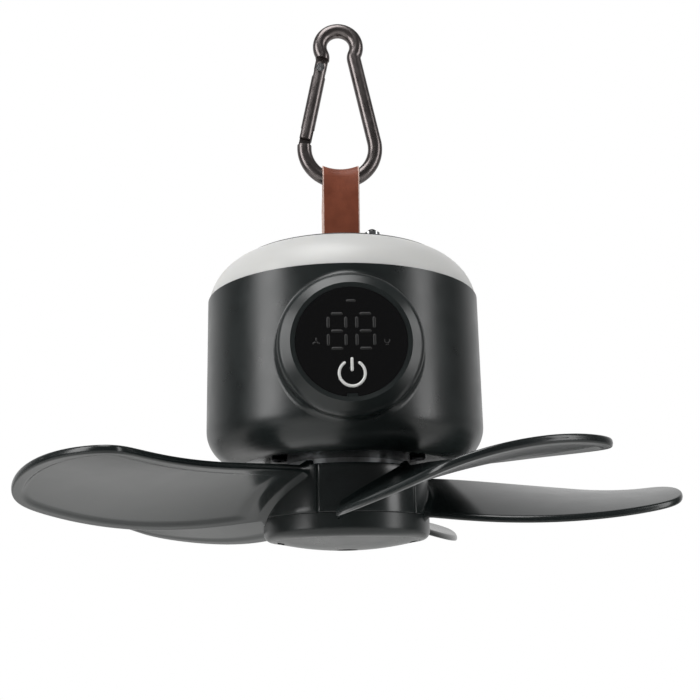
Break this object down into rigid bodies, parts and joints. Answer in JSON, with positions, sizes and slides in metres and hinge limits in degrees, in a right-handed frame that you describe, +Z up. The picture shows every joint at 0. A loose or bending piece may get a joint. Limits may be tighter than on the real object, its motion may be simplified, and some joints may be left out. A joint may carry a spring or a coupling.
{
  "type": "portable camping fan",
  "caption": "Hanging camping fan: round battery body with a display window and light ring, leather strap and snap carabiner above, swept-blade rotor below.",
  "frame": {"origin": "the point inside the top of the carabiner's bow where the fan hangs", "axes": "+Z up along the fan's axis, -Y out of the display window at the front, +X to the right seen from the front"},
  "size_m": [0.2342, 0.237, 0.2079],
  "materials": {
    "black_nickel": "polished black nickel plate",
    "spring_steel": "plain steel",
    "bright_steel": "polished",
    "dark_screw": "black oxide",
    "leather": "smooth brown, natural cut edge",
    "shell": "satin green-black",
    "gloss_black": "polished black",
    "diffuser": "frosted translucent",
    "circuit_board": "solder mask",
    "lamp_white": "phosphor",
    "white_plastic": "moulded",
    "icon_print": "light grey print",
    "cell_can": "sleeved cell",
    "mount_alloy": "turned",
    "lamination_steel": "stacked laminations",
    "copper": "enamelled copper wire",
    "magnet": "sintered"
  },
  "bodies": {
    "carabiner": {"carabiner_frame": "black_nickel", "gate_rivet": "bright_steel"},
    "gate": {"carabiner_gate": "black_nickel", "gate_spring": "spring_steel"},
    "light_button": {"light_button": "gloss_black"},
    "rotor": {"hub_core": "shell", "rotor_yoke": "lamination_steel", "magnet_ring": "magnet", "motor_shaft": "bright_steel", "shaft_clip": "spring_steel", "blade_1": "shell", "blade_2": "shell", "blade_3": "shell", "blade_4": "shell", "blade_5": "shell", "blade_screws": "dark_screw", "hub_cap": "shell", "cap_screw": "dark_screw"},
    "fan_body": {"strap_loop": "leather", "strap_screws": "spring_steel", "strap_nuts": "spring_steel", "top_cover": "shell", "cover_screws": "dark_screw", "button_bezel": "bright_steel", "light_switch": "gloss_black", "diffuser_ring": "diffuser", "led_board": "circuit_board", "led_chips": "lamp_white", "deck": "white_plastic", "deck_screws": "spring_steel", "main_board": "circuit_board", "main_housing": "shell", "display_lens": "gloss_black", "display_carrier": "white_plastic", "display_board": "circuit_board", "digit_module": "gloss_black", "touch_spring": "spring_steel", "power_icon": "icon_print", "battery_cells": "cell_can", "battery_holder": "white_plastic", "holder_screws": "spring_steel", "usb_board": "circuit_board", "usb_socket": "bright_steel", "bottom_plate": "shell", "plate_screws": "dark_screw", "motor_mount": "mount_alloy", "mount_screws": "spring_steel", "bearings": "bright_steel", "stator_core": "lamination_steel", "stator_coils": "copper", "motor_board": "circuit_board"}
  },
  "joints": [
    {"name": "gate_hinge", "type": "hinge", "parent": "carabiner", "child": "gate", "pos_m": [-0.0073, 0, -0.01485], "axis": [0, -1, 0], "range_deg": [0, 28], "stiffness_Nm_per_rad": 0.05, "springref_deg": -22.92},
    {"name": "hang_swing", "type": "hinge", "parent": "carabiner", "child": "fan_body", "pos_m": [0, 0, -0.062], "axis": [1, 0, 0], "range_deg": [-75, 75]},
    {"name": "rotor_spin", "type": "hinge", "parent": "fan_body", "child": "rotor", "pos_m": [0, 0, -0.19], "axis": [0, 0, 1], "continuous": true},
    {"name": "light_button_press", "type": "slide", "parent": "fan_body", "child": "light_button", "axis": [0, 0, -1], "range_m": [0, 0.0008], "stiffness_N_per_m": 1500, "springref_m": -0.0006}
  ]
}
